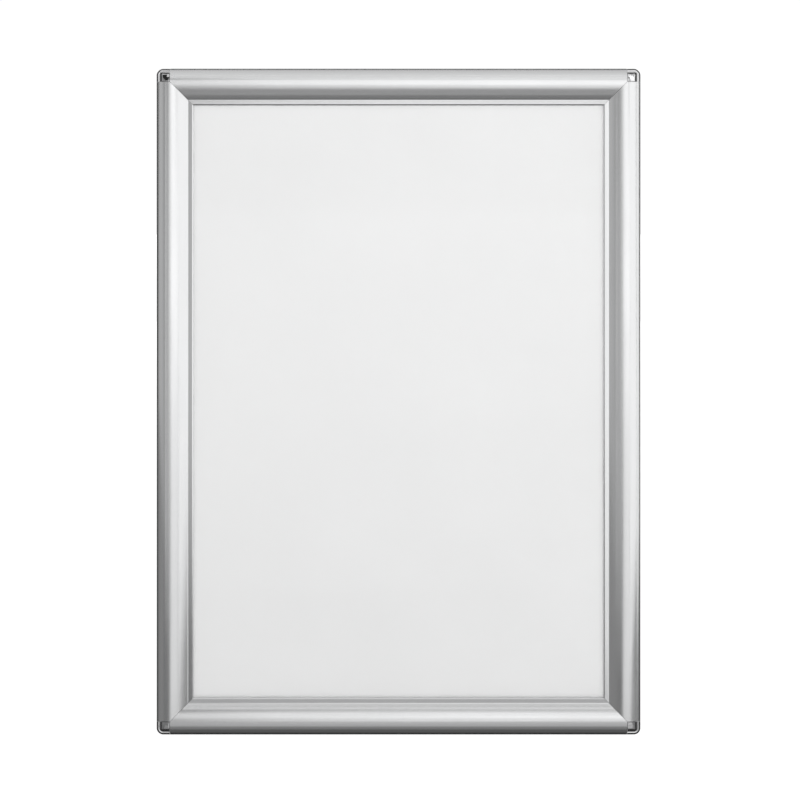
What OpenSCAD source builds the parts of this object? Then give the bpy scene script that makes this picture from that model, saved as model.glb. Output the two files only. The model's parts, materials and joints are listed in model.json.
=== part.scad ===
// Folding sandwich board: two snap-frame leaves hinged near their top edges.
// Millimetres, +Z up. X runs across the board and the front leaf faces -Y.
// The origin is on the floor, under the middle of the standing board.
//
// A leaf is drawn in its own frame: X across, Y outwards from its flat back,
// and Z up from its top edge, so the whole leaf lies at negative Z.
// A rail is drawn in section: u inwards from the outer edge, v out from the back.

/* [Leaf] */
// Width of each leaf over its rails
leaf_w = 327; // [260:1:440]
// Height of each leaf over its rails
leaf_h = 450; // [400:1:640]
// Rounding of a leaf's outer corners
corner_r = 4.5; // [3:0.5:5]
// Side of the square corner caps
cap_size = 9; // [8:0.5:10]

/* [Snap rail] */
// Width of a rail, from the outer edge to the edge of the visible sheet
rail_w = 25; // [24.5:0.5:26]
// Depth of a closed rail, from its back to its crown
rail_depth = 12; // [11.8:0.1:12.4]
// Where the crown is highest, from the outer edge
crown_u = 9.2; // [8.8:0.1:9.8]
// Wall of the extruded rails
wall = 1.2; // [1:0.1:1.3]
// Radius of the rolled outer edge, which grips the hinge bead
edge_r = 2.8; // [2.7:0.05:2.9]
// Radius of the hinge bead along the base rail
bead_r = 1.5; // [1.3:0.1:1.5]
// Where the crowned face ends and the lip begins, from the outer edge
valley_u = 21.2; // [20.8:0.1:21.4]
// Depth of the rail there
valley_v = 7.5; // [7.4:0.1:7.8]
// Height by which the lip rises to its inner edge
lip_rise = 1; // [0.7:0.1:1.2]
// Bevel along the lip's inner edge
lip_bevel = 0.85; // [0.5:0.05:0.9]

/* [Sheets] */
// Depth of the sheets' edges behind the rails, from the outer edge
sheet_inset = 15; // [15:0.5:17]
// Thickness of the back panel
back_t = 1; // [0.8:0.1:1]
// Thickness of the poster
poster_t = 0.2; // [0.1:0.05:0.2]
// Thickness of the clear cover
cover_t = 0.5; // [0.3:0.1:0.5]

/* [Fold] */
// Angle between the leaves when the board stands
splay = 24; // [20:1:26]
// Gap between the backs of the folded leaves
fold_gap = 6; // [6:0.5:7]
// Height of the front leaf's top edge over the hinge axis
front_rise = 5; // [4.8:0.1:5.4]
// Height of the rear leaf's top edge over the hinge axis
rear_rise = 0.4; // [0:0.1:0.6]
// Distance of the two hinges from the middle
hinge_x = 100; // [70:5:110]

/* [Stays] */
// Distance of a stay's pivot below the hinge axis, on the front leaf
pivot_drop = 75; // [72:1:80]
// Distance of a stay's stud below the hinge axis, on the rear leaf
stud_drop = 150; // [145:1:155]
// Width of a stay
stay_w = 12; // [12:0.5:13]
// Thickness of a stay
stay_t = 1.6; // [1.2:0.1:1.8]

/* [Feet] */
// Length of a rubber foot
foot_l = 40; // [25:1:60]
// Height of a rubber foot up the leaf
foot_h = 13; // [10:0.5:14]
// Height of the leaves' lower edges over the floor
foot_drop = 0.3; // [0.3:0.1:1]

/* [Hidden] */
$fn = 64;
eps = 0.01;

// Rail section
bead_v = 6;
bead_play = 0.08;
bead = [edge_r, bead_v];
bead_depth = rail_depth - bead_v;
outer_r = (pow(crown_u - edge_r, 2) / (bead_depth - edge_r) + edge_r + bead_depth) / 2;
valley_drop = rail_depth - valley_v;
inner_r = (pow(valley_u - crown_u, 2) + pow(valley_drop, 2)) / (2 * valley_drop);
tangent_a = atan2(bead_v - rail_depth + outer_r, edge_r - crown_u);
wedge_a = 30;
claw_from = -30;
claw_to = 165;
neck_u = edge_r - wall / 2;
flange_v = 3.4;
rib_u = 13.4;
rib_w = 1.4;
rib_v = 6.2;
web_u = 16;
shelf_u = 24;
shelf_v = 5;
cover_top = shelf_v + back_t + poster_t + cover_t;
lip_v = cover_top + 0.2;
gap = 0.2;

// Corner keys and snap springs, in the channel of the base rails
key_u = 4.2;
key_w = 8.4;
key_l = 40;
key_t = 1.4;
key_screw_s = 26;
channel_u = 8.4;
spring_w = 6.6;
spring_u = 6;
spring_t = 0.5;
spring_span = 32;
spring_rise = 3.4;
spring_r = (spring_span * spring_span / 4 + spring_rise * spring_rise) / (2 * spring_rise);

// Where the hinge axis lies, from both leaves' lower edges touching the floor
half_gap = fold_gap / 2;
front_leg = leaf_h - front_rise + foot_drop;
rear_leg = leaf_h - rear_rise + foot_drop;
front_reach = norm([front_leg, half_gap]);
rear_reach = norm([rear_leg, half_gap]);
front_skew = atan2(half_gap, front_leg);
rear_skew = atan2(half_gap, rear_leg);
skew_splay = splay + front_skew + rear_skew;
front_lean = atan2(
    front_reach - rear_reach * cos(skew_splay),
    rear_reach * sin(skew_splay)
) - front_skew;
rear_lean = splay - front_lean;
axis_z = front_reach * cos(front_lean + front_skew);
function crown_reach(rise, lean) =
    (half_gap + rail_depth - outer_r) * cos(lean)
    + (leaf_h - rise - crown_u) * sin(lean)
    + outer_r;
axis_y = (crown_reach(front_rise, front_lean) - crown_reach(rear_rise, rear_lean)) / 2;

// Hinges
knuckle_r = 2.6;
knuckle_l = 10;
knuckle_n = 5;
hinge_l = knuckle_l * knuckle_n;
pin_r = 1.5;
pin_play = 0.05;
pin_head_r = 2.4;
pin_head_t = 0.8;
leaf_plate_t = 0.9;
leaf_plate_top = 2.9;
leaf_plate_h = 7.6;
hinge_rivet_z = -6.4;
hinge_rivet_xs = [-16, 0, 16];

// Rivets
rivet_r = 1.2;
rivet_hole_r = 1.3;
rivet_head_r = 2;
rivet_head_t = 0.8;
rivet_tail_r = 1.7;
rivet_tail_t = 0.6;

// Stays: the stud slides along a slot, so both leaves and the stay move together
ear_t = 1.2;
ear_u = 26.4;
ear_r = 4.4;
stay_u = 28;
stud_r = 2;
stud_play = 0.3;
stud_head_r = 3.4;
stud_head_t = 1;
bracket_l = 26;
bracket_t = 1.2;
bracket_rivet_z = 8;
function stud_y(fold) = stud_drop * sin(fold);
function stud_z(fold) = pivot_drop - stud_drop * cos(fold);
function stud_a(fold) = atan2(stud_y(fold), -stud_z(fold));
stay_a = stud_a(splay);
function stud_reach(fold) = norm([stud_y(fold), stud_z(fold)]);
function stud_drift(fold) = stud_reach(fold) * sin(stud_a(fold) - stay_a * fold / splay);
slot_y = max([for (fold = [0 : splay / 24 : splay]) stud_drift(fold)]) / 2;
slot_r = stud_r + slot_y + stud_play;
slot_from = stud_reach(0) - stud_play;
slot_to = stud_reach(splay) + stud_play;

// Feet
foot_t = half_gap - 0.1;
foot_from_edge = 8;

SIDES = ["top", "bottom", "left", "right"];
HANDS = ["left", "right"];
CORNERS = ["top_left", "top_right", "bottom_left", "bottom_right"];

// ---------- places ----------

// Frame of the hinge axis with the front leaf upright
module front_fold() {
    translate([0, axis_y, axis_z])
        rotate([-front_lean, 0, 0])
            children();
}

// Frame of the hinge axis with the rear leaf upright
module rear_fold() {
    translate([0, axis_y, axis_z])
        rotate([rear_lean, 0, 0])
            children();
}

module front_leaf() {
    front_fold()
        translate([0, -half_gap, front_rise])
            mirror([0, 1, 0])
                children();
}

module rear_leaf() {
    rear_fold()
        translate([0, half_gap, rear_rise])
            children();
}

function is_upright(side) = side == "left" || side == "right";
function side_length(side) = is_upright(side) ? leaf_h : leaf_w;

// Frame of one rail: X is u, Y is v, and Z runs along the rail from its middle
module on_side(side) {
    if (side == "left")
        translate([-leaf_w / 2, 0, -leaf_h / 2])
            children();
    if (side == "right")
        translate([leaf_w / 2, 0, -leaf_h / 2])
            mirror([1, 0, 0])
                children();
    if (side == "top")
        rotate([0, 90, 0])
            children();
    if (side == "bottom")
        translate([0, 0, -leaf_h])
            mirror([0, 0, 1])
                rotate([0, 90, 0])
                    children();
}

// Frame of one corner: X and Z run inwards from the corner, Y is v
module on_corner(corner) {
    flip_x = corner == "top_right" || corner == "bottom_right" ? 1 : 0;
    flip_z = corner == "top_left" || corner == "top_right" ? 1 : 0;
    translate([(flip_x - 0.5) * leaf_w, 0, (flip_z - 1) * leaf_h])
        mirror([flip_x, 0, 0])
            mirror([0, 0, flip_z])
                children();
}

// A mirrored copy on the left for what is drawn on the right
module on_hand(hand) {
    mirror([hand == "left" ? 1 : 0, 0, 0])
        children();
}

// ---------- shared shapes ----------

// A plan shape, with its second axis along Z, extruded over the depth y0 to y1
module over_depth(y0, y1) {
    translate([0, y1, 0])
        rotate([90, 0, 0])
            linear_extrude(height = y1 - y0)
                children();
}

// A side shape in Y and Z, extruded over x0 to x1
module over_width(x0, x1) {
    translate([x0, 0, 0])
        rotate([90, 0, 90])
            linear_extrude(height = x1 - x0)
                children();
}

module cylinder_x(r, x0, x1) {
    translate([x0, 0, 0])
        rotate([0, 90, 0])
            cylinder(r = r, h = x1 - x0);
}

module cylinder_y(r, y0, y1) {
    translate([0, y1, 0])
        rotate([90, 0, 0])
            cylinder(r = r, h = y1 - y0);
}

function ray(r, a) = [r * cos(a), r * sin(a)];

// The waste of a rounded corner at the origin
module corner_waste(r) {
    difference() {
        translate([-1, -1])
            square(r + 1);
        translate([r, r])
            circle(r = r);
        translate([r, -2])
            square(2 * r);
        translate([-2, r])
            square(2 * r);
    }
}

// A rivet through a plate on a leaf's back, at the origin, along Y
module rivet(plate_t) {
    cylinder_y(rivet_head_r, -plate_t - rivet_head_t, -plate_t);
    cylinder_y(rivet_r, -plate_t - eps, wall + eps);
    cylinder_y(rivet_tail_r, wall, wall + rivet_tail_t);
}

// ---------- rail sections ----------

// Solid under one arc of the crowned face, between two angles at the arc's centre
module arc_sector(r, from_a, to_a) {
    reach = 2 * r;
    translate([crown_u, rail_depth - r])
        intersection() {
            circle(r = r);
            polygon([[0, 0], ray(reach, from_a), ray(reach, to_a)]);
        }
}

// The crowned face is two arcs that meet on the crown, drawn here inset by a wall
module crown_sectors(inset) {
    translate([0, -inset]) {
        intersection() {
            arc_sector(outer_r - inset, 90, tangent_a);
            square([crown_u, 2 * rail_depth]);
        }
        arc_sector(inner_r - inset, wedge_a, 90);
    }
}

// Solid shape under the outer skin of a closed rail, over the base's web
module skin_section() {
    translate([0, wall])
        square([rail_w, bead_v - wall]);
    translate(bead)
        circle(r = edge_r);
    crown_sectors(0);
}

module base_section() {
    square([web_u, wall]);
    square([wall, flange_v]);
    translate([neck_u, 0])
        square([wall, bead_v]);
    translate(bead)
        circle(r = bead_r);
    translate([rib_u, 0])
        square([rib_w, rib_v]);
    translate([rib_u, shelf_v - wall])
        square([shelf_u - rib_u, wall]);
}

module claw_section() {
    reach = 2 * edge_r;
    translate(bead)
        difference() {
            circle(r = edge_r);
            circle(r = bead_r + bead_play);
            polygon([
                [0, 0],
                ray(reach, claw_to),
                ray(2 * reach, (claw_to + claw_from + 360) / 2),
                ray(reach, claw_from)
            ]);
        }
}

module crown_shell() {
    difference() {
        crown_sectors(0);
        crown_sectors(wall);
    }
}

module clamp_section() {
    root_u = valley_u - wall / 2;
    lip_slope = lip_rise / (rail_w - valley_u);
    ridge_v = valley_v + lip_rise - lip_slope * lip_bevel;
    claw_section();
    intersection() {
        union() {
            crown_shell();
            polygon([
                [root_u, lip_v - 1],
                [rail_w, lip_v - 1],
                [rail_w, ridge_v - lip_bevel],
                [rail_w - lip_bevel, ridge_v],
                [root_u, valley_v - lip_slope * (valley_u - root_u)]
            ]);
        }
        translate([-1, lip_v])
            square([rail_w + 2, rail_depth]);
    }
}

// ---------- leaf parts ----------

// Base rail with mitred ends; holes are [u, z] places in its web
module base_rail(side, holes) {
    length = side_length(side);
    half = length / 2;
    color("silver")
        on_side(side)
            difference() {
                intersection() {
                    linear_extrude(height = length, center = true)
                        base_section();
                    over_depth(-1, rail_depth)
                        polygon([
                            [0, -half],
                            [rail_w, rail_w - half],
                            [rail_w, half - rail_w],
                            [0, half]
                        ]);
                }
                for (end = [0, 1])
                    mirror([0, 0, end])
                        translate([0, 0, -half]) {
                            over_depth(wall, rail_depth)
                                square(cap_size);
                            over_depth(-1, wall + 1)
                                corner_waste(corner_r);
                            translate([channel_u, 0, key_screw_s])
                                cylinder_y(rivet_hole_r, -1, wall + 1);
                        }
                for (hole = holes)
                    translate([hole[0], 0, hole[1]])
                        cylinder_y(rivet_hole_r, -1, wall + 1);
            }
}

// Hinged clamp rail, mitred and stopped short of the corner caps
module clamp_rail(side) {
    length = side_length(side);
    square_end = length / 2 - cap_size - gap;
    mitre_u = cap_size + gap / 2;
    beyond = rail_w + 1 - mitre_u;
    color("gainsboro")
        on_side(side)
            intersection() {
                linear_extrude(height = length, center = true)
                    clamp_section();
                over_depth(-1, rail_depth + 1)
                    polygon([
                        [-1, -square_end],
                        [mitre_u, -square_end],
                        [mitre_u + beyond, beyond - square_end],
                        [mitre_u + beyond, square_end - beyond],
                        [mitre_u, square_end],
                        [-1, square_end]
                    ]);
            }
}

module key_plan() {
    translate([key_u, key_u])
        square([key_w, key_l - key_u]);
    translate([key_u, key_u])
        square([key_l - key_u, key_w]);
}

module corner_cap(corner) {
    color("dimgray")
        on_corner(corner)
            difference() {
                intersection() {
                    over_depth(wall, rail_depth + 1)
                        difference() {
                            square(cap_size);
                            corner_waste(corner_r);
                        }
                    linear_extrude(height = cap_size)
                        skin_section();
                    translate([cap_size, 0, 0])
                        rotate([0, -90, 0])
                            linear_extrude(height = cap_size)
                                skin_section();
                }
                over_depth(wall - 1, wall + key_t)
                    key_plan();
            }
}

module corner_keys() {
    color("lightsteelblue")
        for (corner = CORNERS)
            on_corner(corner)
                difference() {
                    over_depth(wall, wall + key_t)
                        key_plan();
                    for (place = [[channel_u, key_screw_s], [key_screw_s, channel_u]])
                        translate([place[0], 0, place[1]])
                            cylinder_y(rivet_hole_r, 0, wall + key_t + 1);
                }
}

module key_screws() {
    color("slategray")
        for (corner = CORNERS, place = [[channel_u, key_screw_s], [key_screw_s, channel_u]])
            on_corner(corner)
                translate([place[0], 0, place[1]]) {
                    cylinder_y(rivet_r, 0, wall + key_t + eps);
                    cylinder_y(rivet_head_r, wall + key_t, wall + key_t + rivet_head_t);
                }
}

// Two arched leaf springs in the channel of each rail
module snap_springs() {
    color("gray")
        for (side = SIDES, end = [-1, 1])
            on_side(side)
                translate([spring_u, wall, end * side_length(side) / 4])
                    intersection() {
                        translate([0, spring_rise - spring_r, 0])
                            difference() {
                                cylinder_x(spring_r, 0, spring_w);
                                cylinder_x(spring_r - spring_t, -1, spring_w + 1);
                            }
                        translate([-1, 0, -spring_span])
                            cube([spring_w + 2, spring_rise + 1, 2 * spring_span]);
                    }
}

// A sheet behind the rails, over the depth v0 to v1
module sheet(v0, v1) {
    translate([sheet_inset - leaf_w / 2, v0, sheet_inset - leaf_h])
        cube([leaf_w - 2 * sheet_inset, v1 - v0, leaf_h - 2 * sheet_inset]);
}

module back_panel() {
    color("lightgray")
        sheet(shelf_v, shelf_v + back_t);
}

module poster() {
    color("white")
        sheet(shelf_v + back_t, shelf_v + back_t + poster_t);
}

module cover_sheet() {
    color("whitesmoke", 0.4)
        sheet(cover_top - cover_t, cover_top);
}

// Rivet places in the base rails, as [u, z] along each rail
function hinge_holes(rise) = [
    for (side = [-1, 1], x = hinge_rivet_xs)
        [rise - hinge_rivet_z, side * hinge_x + x]
];
function bracket_holes(rise, drop) = [
    for (end = [-1, 1])
        [channel_u, leaf_h / 2 - rise - drop + end * bracket_rivet_z]
];
function rail_holes(side, rise, drop) =
    side == "top" ? hinge_holes(rise) : is_upright(side) ? bracket_holes(rise, drop) : [];

// ---------- hinges, drawn in the frame of the hinge axis on the +Y leaf ----------

module hinge_plate(knuckles) {
    color("lightsteelblue")
        difference() {
            union() {
                translate([-hinge_l / 2, half_gap - leaf_plate_t, -leaf_plate_top - leaf_plate_h])
                    cube([hinge_l, leaf_plate_t, leaf_plate_h]);
                for (i = knuckles)
                    translate([(i - knuckle_n / 2) * knuckle_l + gap / 2, 0, 0]) {
                        cylinder_x(knuckle_r, 0, knuckle_l - gap);
                        translate([0, half_gap - leaf_plate_t, -leaf_plate_top - eps])
                            cube([knuckle_l - gap, leaf_plate_t, leaf_plate_top + eps]);
                    }
            }
            cylinder_x(pin_r + pin_play, -hinge_l, hinge_l);
            for (x = hinge_rivet_xs)
                translate([x, 0, hinge_rivet_z])
                    cylinder_y(rivet_hole_r, 0, half_gap + 1);
        }
}

module hinge_pin() {
    color("silver") {
        cylinder_x(pin_r, -hinge_l / 2 - eps, hinge_l / 2 + eps);
        for (end = [0, 1])
            mirror([end, 0, 0])
                cylinder_x(pin_head_r, hinge_l / 2, hinge_l / 2 + pin_head_t);
    }
}

module hinge_rivets() {
    color("silver")
        for (side = [-1, 1], x = hinge_rivet_xs)
            translate([side * hinge_x + x, half_gap, hinge_rivet_z])
                rivet(leaf_plate_t);
}

// ---------- stays, drawn on the right ----------

// Bracket on a leaf's back, in the frame of the hinge axis on the +Y leaf
module stay_bracket(drop) {
    inner_x = leaf_w / 2 - ear_u;
    color("lightsteelblue")
        translate([0, 0, -drop])
            difference() {
                union() {
                    translate([inner_x - ear_t, half_gap - bracket_t, -bracket_l / 2])
                        cube([ear_u + ear_t - neck_u, bracket_t, bracket_l]);
                    over_width(inner_x - ear_t, inner_x) {
                        circle(r = ear_r);
                        translate([0, -ear_r])
                            square([half_gap, 2 * ear_r]);
                    }
                }
                cylinder_x(stud_r + pin_play, inner_x - 2 * ear_t, inner_x + ear_t);
                for (end = [-1, 1])
                    translate([leaf_w / 2 - channel_u, 0, end * bracket_rivet_z])
                        cylinder_y(rivet_hole_r, 0, half_gap + 1);
            }
}

module stay_rivets(drop) {
    color("silver")
        for (hand = HANDS, end = [-1, 1])
            on_hand(hand)
                translate([leaf_w / 2 - channel_u, half_gap, end * bracket_rivet_z - drop])
                    rivet(bracket_t);
}

// Headed pin through a stay, peened flush with the outside of a bracket's ear, along X
module ear_pin(drop) {
    outer_x = leaf_w / 2 - ear_u;
    inner_x = leaf_w / 2 - stay_u - stay_t - 1.5 * gap;
    translate([0, 0, -drop]) {
        cylinder_x(stud_r, inner_x - eps, outer_x);
        cylinder_x(stud_head_r, inner_x - stud_head_t, inner_x);
    }
}

module ear_pins(drop) {
    color("silver")
        for (hand = HANDS)
            on_hand(hand)
                ear_pin(drop);
}

// A bar with round ends, along -Z from z0 to z1
module round_bar(r, z0, z1) {
    translate([0, -z0])
        circle(r = r);
    translate([0, -z1])
        circle(r = r);
    translate([-r, -z1])
        square([2 * r, z1 - z0]);
}

module stay_bar(hand) {
    inner_x = leaf_w / 2 - stay_u - stay_t;
    color("lightsteelblue")
        on_hand(hand)
            translate([0, 0, -pivot_drop])
                rotate([stay_a, 0, 0])
                    difference() {
                        translate([0, slot_y, 0])
                            over_width(inner_x, inner_x + stay_t)
                                round_bar(stay_w / 2, 0, slot_to);
                        cylinder_x(stud_r + pin_play, inner_x - 1, inner_x + stay_t + 1);
                        translate([0, slot_y, 0])
                            over_width(inner_x - 1, inner_x + stay_t + 1)
                                round_bar(slot_r, slot_from, slot_to);
                    }
}

// ---------- feet ----------

module foot(hand) {
    on_hand(hand)
        translate([leaf_w / 2 - foot_from_edge - foot_l, -foot_t, -leaf_h - 2])
            cube([foot_l, foot_t, foot_h + 2]);
}

module above_floor() {
    color("#222222")
        intersection() {
            children();
            translate([-leaf_w, -leaf_h, 0])
                cube([2 * leaf_w, 2 * leaf_h, leaf_h]);
        }
}

// ---------- nodes ----------

for (side = SIDES) {
    front_leaf() base_rail(side, rail_holes(side, front_rise, pivot_drop));
    front_leaf() clamp_rail(side);
    rear_leaf() base_rail(side, rail_holes(side, rear_rise, stud_drop));
    rear_leaf() clamp_rail(side);
}
for (corner = CORNERS) {
    front_leaf() corner_cap(corner);
    rear_leaf() corner_cap(corner);
}
front_leaf() corner_keys();  // front_corner_keys
front_leaf() key_screws();  // front_key_screws
front_leaf() snap_springs();  // front_snap_springs
front_leaf() back_panel();  // front_back_panel
front_leaf() poster();  // front_poster
front_leaf() cover_sheet();  // front_cover_sheet
rear_leaf() corner_keys();  // rear_corner_keys
rear_leaf() key_screws();  // rear_key_screws
rear_leaf() snap_springs();  // rear_snap_springs
rear_leaf() back_panel();  // rear_back_panel
rear_leaf() poster();  // rear_poster
rear_leaf() cover_sheet();  // rear_cover_sheet
for (hand = HANDS) {
    front_fold() on_hand(hand) translate([hinge_x, 0, 0]) mirror([0, 1, 0])
            hinge_plate([0, 2, 4]);
    rear_fold() on_hand(hand) translate([hinge_x, 0, 0])
            hinge_plate([1, 3]);
    front_fold() on_hand(hand) translate([hinge_x, 0, 0])
            hinge_pin();
    front_fold() on_hand(hand) mirror([0, 1, 0]) stay_bracket(pivot_drop);
    rear_fold() on_hand(hand) stay_bracket(stud_drop);
    front_fold() stay_bar(hand);
    above_floor() front_leaf() foot(hand);
    above_floor() rear_leaf() foot(hand);
}
front_fold() mirror([0, 1, 0]) hinge_rivets();  // hinge_front_rivets
rear_fold() hinge_rivets();  // hinge_rear_rivets
front_fold() mirror([0, 1, 0]) stay_rivets(pivot_drop);  // stay_front_rivets
rear_fold() stay_rivets(stud_drop);  // stay_rear_rivets
front_fold() ear_pins(pivot_drop);  // stay_pivot_rivets
rear_fold() ear_pins(stud_drop);  // stay_studs
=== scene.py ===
"""The looks of a folding sandwich board: two snap-frame leaves, hinges, slotted stays and feet.

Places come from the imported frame. Sizes named here are millimetres, and MM turns them into metres.
A rail is described in section: u runs inwards from the leaf's outer edge, v runs out from its back.
"""

import json
import math

import bmesh
import bpy
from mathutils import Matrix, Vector


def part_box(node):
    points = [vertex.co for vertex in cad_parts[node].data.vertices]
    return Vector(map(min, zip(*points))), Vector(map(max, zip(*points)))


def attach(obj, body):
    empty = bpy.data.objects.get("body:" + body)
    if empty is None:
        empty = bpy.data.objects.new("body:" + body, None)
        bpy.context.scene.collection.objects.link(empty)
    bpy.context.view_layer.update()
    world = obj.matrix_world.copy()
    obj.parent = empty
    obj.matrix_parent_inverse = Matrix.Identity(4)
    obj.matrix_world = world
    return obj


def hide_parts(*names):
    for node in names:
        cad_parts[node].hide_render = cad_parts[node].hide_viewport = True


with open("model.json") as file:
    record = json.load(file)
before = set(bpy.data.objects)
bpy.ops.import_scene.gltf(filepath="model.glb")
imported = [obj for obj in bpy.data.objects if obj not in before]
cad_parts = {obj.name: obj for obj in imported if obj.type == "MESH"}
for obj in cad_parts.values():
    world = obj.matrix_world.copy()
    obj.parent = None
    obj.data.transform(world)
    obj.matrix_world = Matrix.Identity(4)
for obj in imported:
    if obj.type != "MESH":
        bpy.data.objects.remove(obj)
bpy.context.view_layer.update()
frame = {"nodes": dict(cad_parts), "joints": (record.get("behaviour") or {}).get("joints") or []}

MM = 0.001
ACROSS = Vector((1, 0, 0))
SIDES = ("top", "bottom", "left", "right")
CORNERS = ("top_left", "top_right", "bottom_left", "bottom_right")
JOINTS = {joint["name"]: joint for joint in frame["joints"]}

# Section of a closed rail
RAIL_W = 25.0
DEPTH = 12.0
WALL = 1.2
EDGE_R = 2.8
BEAD_V = 6.0
CLAW_HOLE_R = 1.58
CROWN_U = 9.2
VALLEY = (21.2, 7.5)
VALLEY_DROP = DEPTH - VALLEY[1]
OUTER_R = ((CROWN_U - EDGE_R) ** 2 / (DEPTH - BEAD_V - EDGE_R) + EDGE_R + DEPTH - BEAD_V) / 2
INNER_R = ((VALLEY[0] - CROWN_U) ** 2 + VALLEY_DROP**2) / (2 * VALLEY_DROP)
LIP_V = 6.9
LIP_RISE = 1.0
LIP_BEVEL = 0.85
RIDGE_V = VALLEY[1] + LIP_RISE - LIP_RISE / (RAIL_W - VALLEY[0]) * LIP_BEVEL
LIP_RIDGE = (RAIL_W - LIP_BEVEL, RIDGE_V)
LIP_TOE = (RAIL_W, RIDGE_V - LIP_BEVEL)
VALLEY_FILLET = 1.0
LIP_FILLET = 0.15
CLAW_FROM = -30
CLAW_TO = 165
MITRE_GAP = 0.1

# Corner cap: CAP_RIM holds heights at distances in from the outline, and the pad takes over
# from the rim at PAD_FROM
CAP = 9.0
CAP_CORNER_R = 4.5
CAP_RIM = ((0.0, 5.6), (0.3, 6.4), (0.6, 7.05), (0.9, 7.6), (1.1, 7.85), (1.3, 8.0), (1.5, 8.03))
CAP_RIM += ((1.7, 7.99), (1.9, 7.9), (2.1, 7.92), (2.3, 8.08), (2.6, 8.43), (2.9, 8.8))
CAP_RIM += ((3.2, 9.15), (3.5, 9.5), (3.8, 9.8))
PAD_R = 15.0
PAD_DROP = 0.3
PAD_FROM = 3.3
PAD_BLEND = 1.0
PAD_RINGS = (4.0, 4.2, 4.4, 4.7, 5.2, 5.8, 6.5, 7.3, 8.1)

# Rubber feet, with grip grooves in their inner faces
FOOT_EDGE_R = 0.35
GROOVES = 3
GROOVE_W = 0.9
GROOVE_DEPTH = 0.5
GROOVE_DRAFT = 0.2
GROOVE_END = 3.0


# ---------- leaf frames ----------


class Leaf:
    """A leaf's own frame: x across, v out from its flat back, z up from its top edge."""

    def __init__(self, name, facing):
        bead = {}
        for side in SIDES:
            bead[side] = Vector(JOINTS[f"{name}_clamp_{side}_open"]["pos_m"]) / MM
        self.name = name
        self.up = (bead["top"] - bead["bottom"]).normalized()
        self.out = facing * ACROSS.cross(self.up)
        self.width = (bead["right"] - bead["left"]).length + 2 * EDGE_R
        self.height = (bead["top"] - bead["bottom"]).length + 2 * EDGE_R
        self.origin = bead["top"] + EDGE_R * self.up - BEAD_V * self.out

    def point(self, x, v, z):
        return (self.origin + x * ACROSS + v * self.out + z * self.up) * MM

    def rail_length(self, side):
        return self.height if side in ("left", "right") else self.width

    def rail_point(self, side, u, v, s):
        """A point of a rail's section, s along the rail from its middle."""
        if side == "left":
            return self.point(u - self.width / 2, v, s - self.height / 2)
        if side == "right":
            return self.point(self.width / 2 - u, v, s - self.height / 2)
        if side == "top":
            return self.point(s, v, -u)
        return self.point(s, v, u - self.height)

    def corner_point(self, corner, a, v, b):
        """A point a and b inwards from a corner's two outer edges."""
        x = a - self.width / 2 if corner.endswith("left") else self.width / 2 - a
        z = -b if corner.startswith("top") else b - self.height
        return self.point(x, v, z)


LEAVES = (Leaf("front", 1), Leaf("rear", -1))
FRONT = LEAVES[0]


# ---------- mesh helpers ----------


def arc(centre, r, start, end, steps):
    """Points of an arc, angles in degrees, both ends included."""
    points = []
    for i in range(steps + 1):
        a = math.radians(start + (end - start) * i / steps)
        points.append((centre[0] + r * math.cos(a), centre[1] + r * math.sin(a)))
    return points


def fillet(before, corner, after, r, steps):
    """Points that round a corner of a section by an arc of radius r."""
    c = Vector(corner)
    to_before = (Vector(before) - c).normalized()
    to_after = (Vector(after) - c).normalized()
    half = to_before.angle(to_after) / 2
    centre = c + (to_before + to_after).normalized() * (r / math.sin(half))
    start = c + to_before * (r / math.tan(half)) - centre
    end = c + to_after * (r / math.tan(half)) - centre
    turn = start.angle_signed(end)
    points = []
    for i in range(steps + 1):
        a = -turn * i / steps
        x = start.x * math.cos(a) - start.y * math.sin(a)
        y = start.x * math.sin(a) + start.y * math.cos(a)
        points.append((centre.x + x, centre.y + y))
    return points


def finish_mesh(bm, name, sharp_degrees=32):
    """Turns a bmesh into an object with smooth faces and sharp edges."""
    bmesh.ops.recalc_face_normals(bm, faces=bm.faces)
    for face in bm.faces:
        face.smooth = True
    for edge in bm.edges:
        if len(edge.link_faces) == 2:
            edge.smooth = edge.calc_face_angle(0) < math.radians(sharp_degrees)
    mesh = bpy.data.meshes.new(name)
    bm.to_mesh(mesh)
    bm.free()
    piece = bpy.data.objects.new(name, mesh)
    bpy.context.scene.collection.objects.link(piece)
    return piece


def round_edges(piece, name, width, segments):
    """Rounds a piece's sharp edges with a bevel modifier."""
    bevel = piece.modifiers.new(name, "BEVEL")
    bevel.width = width * MM
    bevel.segments = segments
    bevel.limit_method = "ANGLE"
    bevel.angle_limit = math.radians(40)


def settle(piece, body, slot, material, *nodes):
    """Gives a piece its body, its material and the CAD nodes it stands for; the slot argument is not
    used.
    """
    piece.data.materials.append(material)
    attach(piece, body)
    if nodes:
        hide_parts(*nodes)
    return piece


# ---------- materials ----------


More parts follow.
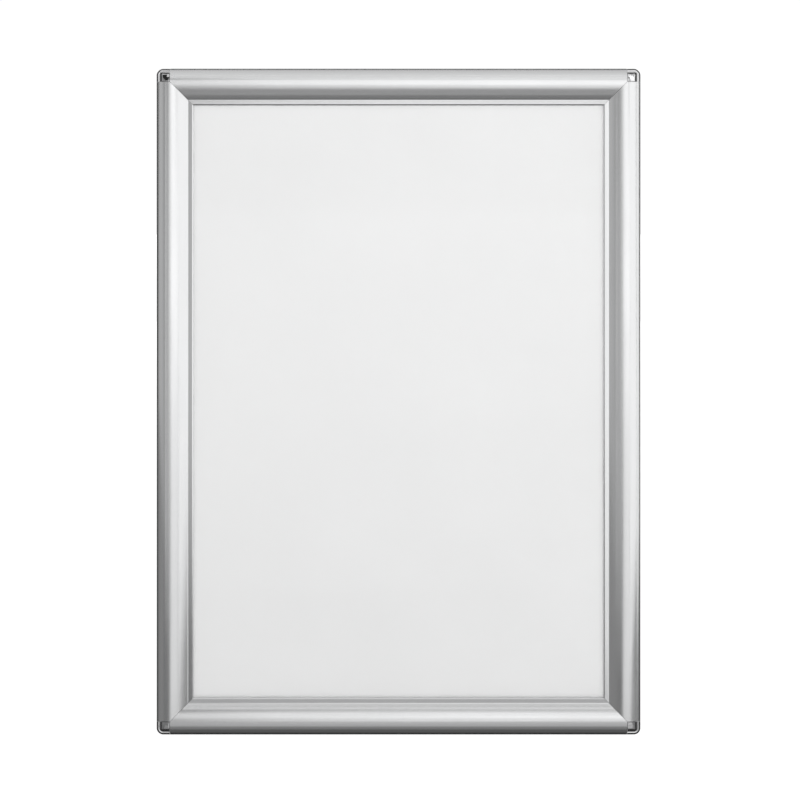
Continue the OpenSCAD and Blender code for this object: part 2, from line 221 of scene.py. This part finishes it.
class Shader:
    """A Principled material with short calls for the nodes that vary it."""

    def __init__(self, name, color, roughness, metallic=0.0):
        self.material = bpy.data.materials.new(name)
        self.material.use_nodes = True
        self.nodes = self.material.node_tree.nodes
        self.links = self.material.node_tree.links
        self.bsdf = self.nodes["Principled BSDF"]
        self.bsdf.inputs["Base Color"].default_value = (*color, 1)
        self.bsdf.inputs["Roughness"].default_value = roughness
        self.bsdf.inputs["Metallic"].default_value = metallic
        self.normal = None

    def coords(self, scale, uv_map=None):
        """Object coordinates, or a UV map's, stretched by scale."""
        mapping = self.nodes.new("ShaderNodeMapping")
        mapping.inputs["Scale"].default_value = scale
        if uv_map:
            source = self.nodes.new("ShaderNodeUVMap")
            source.uv_map = uv_map
            self.links.new(source.outputs["UV"], mapping.inputs["Vector"])
        else:
            source = self.nodes.new("ShaderNodeTexCoord")
            self.links.new(source.outputs["Object"], mapping.inputs["Vector"])
        return mapping.outputs["Vector"]

    def noise(self, coords, scale, detail=3.0):
        node = self.nodes.new("ShaderNodeTexNoise")
        node.inputs["Scale"].default_value = scale
        node.inputs["Detail"].default_value = detail
        self.links.new(coords, node.inputs["Vector"])
        return node.outputs["Fac"]

    def ramp(self, factor, stops):
        """A colour ramp with (position, grey or colour) stops."""
        node = self.nodes.new("ShaderNodeValToRGB")
        elements = node.color_ramp.elements
        while len(elements) < len(stops):
            elements.new(0.5)
        for element, (position, color) in zip(elements, stops):
            element.position = position
            element.color = (*color, 1) if isinstance(color, tuple) else (color, color, color, 1)
        self.links.new(factor, node.inputs["Fac"])
        return node.outputs["Color"]

    def vary(self, socket, factor, stops):
        self.links.new(self.ramp(factor, stops), self.bsdf.inputs[socket])

    def bump(self, height, strength, distance):
        node = self.nodes.new("ShaderNodeBump")
        node.inputs["Strength"].default_value = strength
        node.inputs["Distance"].default_value = distance
        self.links.new(height, node.inputs["Height"])
        if self.normal:
            self.links.new(self.normal, node.inputs["Normal"])
        self.normal = node.outputs["Normal"]
        self.links.new(self.normal, self.bsdf.inputs["Normal"])


def extruded_aluminium():
    """Satin anodised aluminium with the fine lines that an extrusion die leaves."""
    shader = Shader("anodised_aluminium", (0.88, 0.885, 0.89), 0.22, 1.0)
    lines = shader.noise(shader.coords((1, 0.004, 1), "grain"), 3.2, 4.0)
    cloud = shader.noise(shader.coords((1, 0.2, 1), "grain"), 0.09, 2.0)
    shader.vary("Roughness", cloud, [(0.3, 0.20), (0.7, 0.25)])
    shader.vary("Base Color", lines, [(0.3, (0.875, 0.88, 0.886)), (0.7, (0.893, 0.897, 0.903))])
    shader.bump(lines, 0.05, 0.00003)
    return shader.material


def plain_aluminium():
    """The same anodising on the base rails, without a section map."""
    shader = Shader("anodised_aluminium_base", (0.80, 0.805, 0.81), 0.3, 1.0)
    cloud = shader.noise(shader.coords((1, 1, 1)), 40.0, 3.0)
    grain = shader.noise(shader.coords((1, 1, 1)), 1800.0, 2.0)
    shader.vary("Roughness", cloud, [(0.3, 0.27), (0.7, 0.36)])
    shader.bump(grain, 0.08, 0.00003)
    return shader.material


def chrome():
    """Bright plated caps with a little orange peel."""
    shader = Shader("chrome_cap", (0.86, 0.86, 0.87), 0.07, 1.0)
    peel = shader.noise(shader.coords((1, 1, 1)), 500.0, 1.0)
    shader.vary("Roughness", peel, [(0.3, 0.05), (0.8, 0.11)])
    shader.bump(peel, 0.1, 0.00004)
    return shader.material


def zinc():
    """Zinc-plated pressed steel, with passivate tints and rolling marks."""
    shader = Shader("zinc_plate", (0.62, 0.64, 0.66), 0.36, 1.0)
    tint = shader.noise(shader.coords((1, 1, 1)), 120.0, 4.0)
    marks = shader.noise(shader.coords((1, 1, 0.05)), 900.0, 3.0)
    stops = [(0.3, (0.56, 0.60, 0.64)), (0.55, (0.66, 0.68, 0.69)), (0.75, (0.70, 0.68, 0.60))]
    shader.vary("Base Color", tint, stops)
    shader.vary("Roughness", marks, [(0.3, 0.28), (0.7, 0.46)])
    shader.bump(marks, 0.15, 0.00004)
    return shader.material


def fastener_steel():
    shader = Shader("fastener_steel", (0.66, 0.66, 0.68), 0.3, 1.0)
    turned = shader.noise(shader.coords((1, 1, 1)), 2500.0, 2.0)
    shader.vary("Roughness", turned, [(0.3, 0.22), (0.7, 0.38)])
    shader.bump(turned, 0.1, 0.00002)
    return shader.material


def spring_steel():
    """Blued strip for the snap springs."""
    shader = Shader("blued_spring_steel", (0.16, 0.17, 0.20), 0.33, 1.0)
    heat = shader.noise(shader.coords((1, 1, 1)), 150.0, 3.0)
    shader.vary("Base Color", heat, [(0.3, (0.12, 0.13, 0.17)), (0.7, (0.22, 0.21, 0.21))])
    return shader.material


def rubber():
    shader = Shader("foot_rubber", (0.022, 0.022, 0.024), 0.72)
    grain = shader.noise(shader.coords((1, 1, 1)), 1400.0, 4.0)
    dust = shader.noise(shader.coords((1, 1, 1)), 90.0, 3.0)
    shader.vary("Base Color", dust, [(0.35, 0.018), (0.75, 0.04)])
    shader.vary("Roughness", grain, [(0.3, 0.62), (0.7, 0.82)])
    shader.bump(grain, 0.35, 0.00008)
    return shader.material


def poster_paper():
    """Blank matt poster paper."""
    shader = Shader("poster_paper", (0.86, 0.86, 0.86), 0.75)
    fibre = shader.noise(shader.coords((1, 1, 1)), 1500.0, 5.0)
    cloud = shader.noise(shader.coords((1, 1, 1)), 14.0, 2.0)
    shader.vary("Base Color", cloud, [(0.3, 0.852), (0.7, 0.868)])
    shader.bump(fibre, 0.12, 0.00003)
    return shader.material


def clear_cover():
    """Anti-glare clear sheet over the poster."""
    shader = Shader("clear_cover", (0.97, 0.98, 0.98), 0.32)
    shader.bsdf.inputs["Alpha"].default_value = 0.12
    shader.bsdf.inputs["IOR"].default_value = 1.49
    etch = shader.noise(shader.coords((1, 1, 1)), 3000.0, 2.0)
    shader.vary("Roughness", etch, [(0.3, 0.28), (0.7, 0.4)])
    shader.bump(etch, 0.06, 0.00002)
    return shader.material


def back_plastic():
    """Grey polystyrene back panel with a fine leathery grain."""
    shader = Shader("back_panel_plastic", (0.42, 0.43, 0.44), 0.55)
    grain = shader.noise(shader.coords((1, 1, 1)), 700.0, 4.0)
    cloud = shader.noise(shader.coords((1, 1, 1)), 18.0, 2.0)
    shader.vary("Base Color", cloud, [(0.3, (0.40, 0.41, 0.42)), (0.7, (0.45, 0.46, 0.47))])
    shader.vary("Roughness", grain, [(0.3, 0.48), (0.7, 0.64)])
    shader.bump(grain, 0.25, 0.00006)
    return shader.material


ALUMINIUM = extruded_aluminium()
BASE_ALUMINIUM = plain_aluminium()
CHROME = chrome()
ZINC = zinc()
FASTENER = fastener_steel()
SPRING = spring_steel()
RUBBER = rubber()
POSTER = poster_paper()
COVER = clear_cover()
BACK = back_plastic()


# ---------- clamp rails ----------


def clamp_outline():
    """The closed section of a clamp rail, and the two places where the crown line cuts it."""
    bead = (EDGE_R, BEAD_V)
    outer_c = (CROWN_U, DEPTH - OUTER_R)
    inner_c = (CROWN_U, DEPTH - INNER_R)
    tangent = math.degrees(math.atan2(BEAD_V - outer_c[1], EDGE_R - CROWN_U))
    valley_a = math.degrees(math.atan2(VALLEY[1] - inner_c[1], VALLEY[0] - CROWN_U))
    heel = (RAIL_W, LIP_V)
    toe_a = math.degrees(math.asin((LIP_V - inner_c[1]) / (INNER_R - WALL)))

    # Where the shell's inner face meets the outside of the claw
    apart = math.hypot(CROWN_U - EDGE_R, outer_c[1] - BEAD_V)
    shell_r = OUTER_R - WALL
    along = (shell_r**2 - EDGE_R**2 + apart**2) / (2 * apart)
    aside = math.sqrt(shell_r**2 - along**2)
    meet_a = tangent - math.degrees(math.atan2(aside, along))
    meet = (
        outer_c[0] + shell_r * math.cos(math.radians(meet_a)),
        outer_c[1] + shell_r * math.sin(math.radians(meet_a)),
    )
    root_a = math.degrees(math.atan2(meet[1] - bead[1], meet[0] - bead[0]))

    points = arc(bead, EDGE_R, CLAW_TO, tangent, 5)[:-1]
    points += arc(outer_c, OUTER_R, tangent, 90, 22)
    crown_top = len(points) - 1
    face = arc(inner_c, INNER_R, 90, valley_a, 22)
    points += face[1:-2]
    points += fillet(face[-2], VALLEY, LIP_RIDGE, VALLEY_FILLET, 6)
    points += fillet(VALLEY, LIP_RIDGE, LIP_TOE, LIP_FILLET, 3)
    points += fillet(LIP_RIDGE, LIP_TOE, heel, LIP_FILLET, 3)
    points += fillet(LIP_TOE, heel, (0, LIP_V), LIP_FILLET, 2)
    points += arc(inner_c, INNER_R - WALL, toe_a, 90, 16)
    crown_under = len(points) - 1
    points += arc(outer_c, shell_r, 90, meet_a, 12)[1:]
    points += arc(bead, EDGE_R, root_a, CLAW_FROM, 10)[1:]
    points += arc(bead, CLAW_HOLE_R, CLAW_FROM, CLAW_TO, 20)
    return points, crown_top, crown_under


def clamp_rail(leaf, side):
    """One clamp rail: the section run along its side, mitred inside the crown line."""
    outline, crown_top, crown_under = clamp_outline()
    half = leaf.rail_length(side) / 2
    bm = bmesh.new()
    layer = bm.loops.layers.uv.new("grain")
    rings = []
    for end in (-1, 1):
        ring = []
        for u, v in outline:
            reach = half - max(u, CROWN_U) - MITRE_GAP
            ring.append(bm.verts.new(leaf.rail_point(side, u, v, end * reach)))
        rings.append(ring)
    count = len(outline)
    travelled = [0.0]
    for i in range(count):
        here = Vector(outline[i])
        there = Vector(outline[(i + 1) % count])
        travelled.append(travelled[-1] + (there - here).length)
    for i in range(count):
        j = (i + 1) % count
        face = bm.faces.new((rings[0][i], rings[0][j], rings[1][j], rings[1][i]))
        corners = ((i, 0), (i + 1, 0), (i + 1, 1), (i, 1))
        for loop, (k, end) in zip(face.loops, corners):
            loop[layer].uv = (travelled[k], (2 * end - 1) * half)
    for ring in rings:
        bm.faces.new(ring[: crown_top + 1] + ring[crown_under:])
        bm.faces.new(ring[crown_top : crown_under + 1])
    node = f"{leaf.name}_clamp_rail_{side}"
    piece = finish_mesh(bm, node + "_skin")
    return settle(piece, f"{leaf.name}_clamp_{side}", "aluminium", ALUMINIUM, node)


# ---------- corner caps ----------


def rim_v(t):
    """Height of a cap's rolled rim and the groove inside it, t in from the outline."""
    for (t0, v0), (t1, v1) in zip(CAP_RIM, CAP_RIM[1:]):
        if t <= t1:
            return v0 + (v1 - v0) * (t - t0) / (t1 - t0)
    return CAP_RIM[-1][1]


def pad_v(a, b):
    """Height of a cap's pad, a shallow dome centred on the cap's inner corner."""
    return DEPTH - PAD_DROP - ((CAP - a) ** 2 + (CAP - b) ** 2) / (2 * PAD_R)


def cap_v(t, a, b):
    """Height of a cap at (a, b), t in from its outline: the rim, blended into the pad."""
    blend = min(max((t - PAD_FROM) / PAD_BLEND, 0), 1)
    blend = blend * blend * (3 - 2 * blend)
    return (1 - blend) * rim_v(t) + blend * pad_v(a, b)


def cap_ring(inset, steps):
    """A cap's plan outline, inset from its outer edges: two straight sides and a round corner."""
    r = max(CAP_CORNER_R - inset, 0.15)
    c = inset + r
    straight = [CAP + (c - CAP) * i / 4 for i in range(4)]
    points = [(a, inset) for a in straight]
    points += arc((c, c), r, 270, 180, steps)
    points += [(inset, b) for b in reversed(straight)]
    return points


def corner_cap(leaf, corner):
    """A plated cap: steep sides, a rolled rim, a groove inside it and a domed pad."""
    steps = 14
    insets = [0.0] + [t for t, v in CAP_RIM] + list(PAD_RINGS)
    bm = bmesh.new()
    rings = []
    for i, inset in enumerate(insets):
        ring = []
        for a, b in cap_ring(inset, steps):
            v = cap_v(inset, a, b) if i else WALL
            ring.append(bm.verts.new(leaf.corner_point(corner, a, v, b)))
        rings.append(ring)
    for lower, upper in zip(rings, rings[1:]):
        for i in range(len(lower) - 1):
            bm.faces.new((lower[i], lower[i + 1], upper[i + 1], upper[i]))
    peak = bm.verts.new(leaf.corner_point(corner, CAP, pad_v(CAP, CAP), CAP))
    for i in range(len(rings[-1]) - 1):
        bm.faces.new((rings[-1][i], rings[-1][i + 1], peak))
    base = bm.verts.new(leaf.corner_point(corner, CAP, WALL, CAP))
    bm.faces.new([ring[0] for ring in rings] + [peak, base])
    bm.faces.new([base, peak] + [ring[-1] for ring in reversed(rings)])
    bm.faces.new(rings[0] + [base])
    node = f"{leaf.name}_corner_cap_{corner}"
    piece = finish_mesh(bm, node + "_plated", 50)
    return settle(piece, f"{leaf.name}_leaf", "cap", CHROME, node)


# ---------- feet ----------


def foot(leaf, hand):
    """A moulded rubber pad with rounded edges and three grip grooves on its inner face."""
    node = f"{leaf.name}_foot_{hand}"
    low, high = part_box(node)
    middle = (Vector(low) + Vector(high)) / 2
    inner = leaf.out * -1
    bm = bmesh.new()
    bm.from_mesh(frame["nodes"][node].data)
    bmesh.ops.remove_doubles(bm, verts=bm.verts, dist=0.01 * MM)
    bmesh.ops.dissolve_limit(bm, angle_limit=math.radians(2), verts=bm.verts, edges=bm.edges)
    cuts = []
    for x in (low[0] + GROOVE_END * MM, high[0] - GROOVE_END * MM):
        cuts.append(((x, middle.y, middle.z), ACROSS))
    for k in range(1, GROOVES + 1):
        height = low[2] + (high[2] - low[2]) * k / (GROOVES + 1)
        for offset in (-GROOVE_W / 2, GROOVE_W / 2):
            cuts.append(((middle.x, middle.y, height + offset * MM), leaf.up))
    for place, normal in cuts:
        geom = bm.verts[:] + bm.edges[:] + bm.faces[:]
        bmesh.ops.bisect_plane(bm, geom=geom, plane_co=place, plane_no=normal)
    bm.normal_update()
    column = [
        face
        for face in bm.faces
        if face.normal.dot(inner) > 0.9 and abs(face.calc_center_median().x - middle.x) < MM
    ]
    column.sort(key=lambda face: face.calc_center_median().z)
    strips = column[1::2]
    bmesh.ops.inset_individual(bm, faces=strips, thickness=GROOVE_DRAFT * MM)
    for face in strips:
        bmesh.ops.translate(bm, verts=face.verts[:], vec=leaf.out * GROOVE_DEPTH * MM)
    piece = finish_mesh(bm, node + "_pad")
    round_edges(piece, "rounded", FOOT_EDGE_R, 3)
    return settle(piece, f"{leaf.name}_leaf", "rubber", RUBBER, node)


# ---------- CAD nodes that keep their shape ----------


def dress(node, material, width=0.0, segments=2):
    """Gives a CAD node its material, and broken edges where a width is named."""
    piece = frame["nodes"][node]
    piece.data.materials.clear()
    piece.data.materials.append(material)
    if width:
        weld = piece.modifiers.new("weld", "WELD")
        weld.merge_threshold = 0.005 * MM
        round_edges(piece, "broken_edges", width, segments)


def dress_leaf(leaf):
    for side in SIDES:
        dress(f"{leaf.name}_base_rail_{side}", BASE_ALUMINIUM)
    dress(f"{leaf.name}_corner_keys", ZINC, 0.2)
    dress(f"{leaf.name}_key_screws", FASTENER, 0.25, 3)
    dress(f"{leaf.name}_snap_springs", SPRING)
    dress(f"{leaf.name}_back_panel", BACK)
    dress(f"{leaf.name}_poster", POSTER)
    dress(f"{leaf.name}_cover_sheet", COVER)


def dress_hardware():
    for hand in ("left", "right"):
        for node in (f"hinge_front_plate_{hand}", f"hinge_rear_plate_{hand}"):
            dress(node, ZINC, 0.15)
        for node in (f"stay_front_bracket_{hand}", f"stay_rear_bracket_{hand}"):
            dress(node, ZINC, 0.2)
        dress(f"stay_bar_{hand}", ZINC, 0.2)
        dress(f"hinge_pin_{hand}", FASTENER, 0.25, 3)
    for node in ("hinge_front_rivets", "hinge_rear_rivets", "stay_front_rivets"):
        dress(node, FASTENER, 0.25, 3)
    for node in ("stay_rear_rivets", "stay_pivot_rivets", "stay_studs"):
        dress(node, FASTENER, 0.25, 3)


# ---------- studio ----------


def front_place(x, up, out):
    """A place in front of the front leaf's middle, in millimetres."""
    middle = FRONT.point(0, DEPTH / 2, -FRONT.height / 2)
    return middle + (x * ACROSS + up * FRONT.up + out * FRONT.out) * MM


def softbox(name, place, target, size, radiance):
    """A rectangular light whose face has the given radiance."""
    data = bpy.data.lights.new(name, "AREA")
    data.shape = "RECTANGLE"
    data.size = size[0] * MM
    data.size_y = size[1] * MM
    data.energy = POWER_FACTOR * radiance * data.size * data.size_y
    light = bpy.data.objects.new(name, data)
    bpy.context.scene.collection.objects.link(light)
    light.location = front_place(*place)
    aim = front_place(*place) - front_place(*target)
    light.rotation_euler = aim.to_track_quat("Z", "Y").to_euler()
    light.visible_camera = False
    return light


# An area light of this many watts per square metre has a face of radiance 1
POWER_FACTOR = math.pi

# Each light's place and target, its size, and the radiance of its face. No two that show in the
# metal lie in one plane, because Cycles lets coplanar area lights hide one another.
# These radiances and the room's greys were first fitted to brightness levels, then changed and
# rounded.
SOFTBOXES = {
    "key": ((150, 350, 1400), (150, 350, 0), (1100, 700), 0.3),
    "key_low": ((250, 0, 1430), (250, 0, 0), (900, 700), 0.6),
    "key_top": ((50, 700, 1370), (50, 700, 0), (600, 700), 0.6),
    "high": ((50, 1000, 900), (50, 1000, 0), (1000, 600), 0.6),
    "left_front": ((-675, 125, 1300), (-675, 125, 0), (850, 650), 0.35),
    "left": ((-700, 250, 500), (0, 250, 500), (1000, 700), 0.2),
    "right_front": ((700, 200, 800), (0, 200, 800), (1200, 900), 0.75),
    "right": ((1200, 250, 50), (0, 250, 50), (500, 900), 0.7),
    "top": ((0, 900, 200), (0, 0, 200), (1400, 800), 0.5),
    "low": ((200, -750, 1000), (200, -750, 0), (1100, 600), 0.2),
    "low_near": ((100, -700, 500), (100, -300, 0), (1200, 500), 0.1),
    "low_mid": ((250, -500, 1460), (250, -500, 0), (1200, 400), 0.2),
    "upper_right": ((780, 870, 1300), (160, 220, 0), (500, 500), 0.9),
    "back_key": ((0, 450, -1600), (0, 0, -100), (1500, 900), 1.0),
}
FILLS = {
    "sheet_fill": ((0, 500, 2400), (0, 0, 0), (1800, 1400), 1.1),
    "back_fill": ((0, 500, -2400), (0, 0, 0), (1800, 1400), 2.0),
}
# The room's grey levels by elevation, in degrees above the front leaf's own horizon
ROOM = ((-90, 0.1), (-50, 0.1), (-10, 0.2), (10, 0.28), (30, 0.28), (60, 0.2), (90, 0.1))


def studio_lights():
    for name, setting in SOFTBOXES.items():
        softbox(name, *setting)
    for name, setting in FILLS.items():
        softbox(name, *setting).visible_glossy = False


def studio_world():
    """White behind everything; for the metal, a grey room, dark below, behind and up on the left."""
    world = bpy.data.worlds.new("studio")
    bpy.context.scene.world = world
    world.use_nodes = True
    nodes = world.node_tree.nodes
    links = world.node_tree.links
    nodes.clear()
    coords = nodes.new("ShaderNodeTexCoord")

    def facing(direction, from_min, from_max, to_min, to_max):
        dot = nodes.new("ShaderNodeVectorMath")
        dot.operation = "DOT_PRODUCT"
        dot.inputs[1].default_value = direction
        links.new(coords.outputs["Generated"], dot.inputs[0])
        span = nodes.new("ShaderNodeMapRange")
        for key, value in zip(
            ("From Min", "From Max", "To Min", "To Max"), (from_min, from_max, to_min, to_max)
        ):
            span.inputs[key].default_value = value
        links.new(dot.outputs["Value"], span.inputs["Value"])
        return span.outputs["Result"]

    ramp = nodes.new("ShaderNodeValToRGB")
    elements = ramp.color_ramp.elements
    while len(elements) < len(ROOM):
        elements.new(0.5)
    for element, (degrees, grey) in zip(elements, ROOM):
        element.position = 0.5 + 0.5 * math.sin(math.radians(degrees))
        element.color = (grey, grey, grey, 1)
    links.new(facing(FRONT.up, -1, 1, 0, 1), ramp.inputs["Fac"])
    room = nodes.new("ShaderNodeBackground")
    links.new(ramp.outputs["Color"], room.inputs["Color"])
    corner = (0.55 * FRONT.up - 0.5 * ACROSS + FRONT.out).normalized()
    strength = nodes.new("ShaderNodeMath")
    strength.operation = "MULTIPLY"
    links.new(facing(FRONT.out, -0.3, 0.05, 0.25, 1), strength.inputs[0])
    links.new(facing(corner, 0.78, 0.96, 1, 0.08), strength.inputs[1])
    links.new(strength.outputs["Value"], room.inputs["Strength"])
    white = nodes.new("ShaderNodeBackground")
    white.inputs["Color"].default_value = (1, 1, 1, 1)
    path = nodes.new("ShaderNodeLightPath")
    mix = nodes.new("ShaderNodeMixShader")
    links.new(path.outputs["Is Camera Ray"], mix.inputs["Fac"])
    links.new(room.outputs["Background"], mix.inputs[1])
    links.new(white.outputs["Background"], mix.inputs[2])
    output = nodes.new("ShaderNodeOutputWorld")
    links.new(mix.outputs["Shader"], output.inputs["Surface"])


def studio_floor():
    """A pale floor that glows nearly white and takes a faint contact shadow."""
    bm = bmesh.new()
    bmesh.ops.create_grid(bm, x_segments=1, y_segments=1, size=30)
    floor = finish_mesh(bm, "studio_floor")
    floor.location.z = -0.0002
    shader = Shader("pale_floor", (0.3, 0.3, 0.3), 0.9)
    shader.bsdf.inputs["Emission Color"].default_value = (1, 1, 1, 1)
    shader.bsdf.inputs["Emission Strength"].default_value = 0.97
    floor.data.materials.append(shader.material)
    floor.visible_glossy = False


def camera():
    """Square to the front leaf, with a long lens."""
    data = bpy.data.cameras.new("camera")
    data.lens = 150
    data.sensor_width = 36
    view_width = 540.7
    distance = view_width * data.lens / data.sensor_width
    data.clip_end = 100
    cam = bpy.data.objects.new("camera", data)
    bpy.context.scene.collection.objects.link(cam)
    cam.location = front_place(1.0, 1.1, distance)
    cam.rotation_euler = FRONT.out.to_track_quat("Z", "Y").to_euler()
    bpy.context.scene.camera = cam
    bpy.context.scene.view_settings.view_transform = "Standard"


camera()
studio_world()
studio_lights()
studio_floor()
for board_leaf in LEAVES:
    dress_leaf(board_leaf)
    for rail_side in SIDES:
        clamp_rail(board_leaf, rail_side)
    for cap_corner in CORNERS:
        corner_cap(board_leaf, cap_corner)
    for foot_hand in ("left", "right"):
        foot(board_leaf, foot_hand)
dress_hardware()
